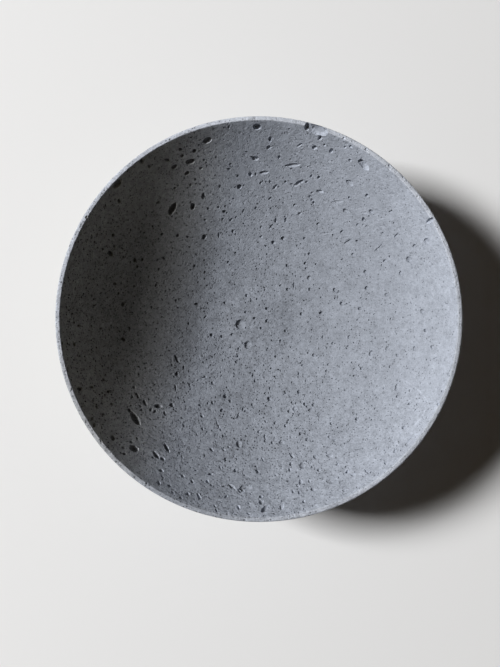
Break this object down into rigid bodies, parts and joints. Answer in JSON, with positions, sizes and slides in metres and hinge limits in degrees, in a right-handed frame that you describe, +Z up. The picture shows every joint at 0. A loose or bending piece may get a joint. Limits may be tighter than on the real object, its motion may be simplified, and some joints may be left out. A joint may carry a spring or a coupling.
{
  "type": "planter bowl",
  "caption": "Wide shallow round planter bowl of cast concrete with a thin flat lip, a level floor inside and air-pitted walls, standing on self-adhesive felt floor pads.",
  "frame": {"origin": "on the bowl's axis, at the level of the floor under the felt pads", "axes": "+Z up the bowl's axis, out of its mouth; +X to the right and +Y away from the viewer as the bowl is seen from above"},
  "size_m": [0.3, 0.3, 0.1],
  "materials": {
    "cast_concrete": "unsealed cast concrete, bluish grey, matte, with air pits",
    "wool_felt": "pressed charcoal felt",
    "adhesive_film": "dull transfer adhesive film"
  },
  "bodies": {
    "root": {"bowl_casting": "cast_concrete", "felt_pad_1": "wool_felt", "felt_pad_2": "wool_felt", "felt_pad_3": "wool_felt", "felt_pad_4": "wool_felt", "pad_adhesive_1": "adhesive_film", "pad_adhesive_2": "adhesive_film", "pad_adhesive_3": "adhesive_film", "pad_adhesive_4": "adhesive_film"}
  },
  "joints": []
}
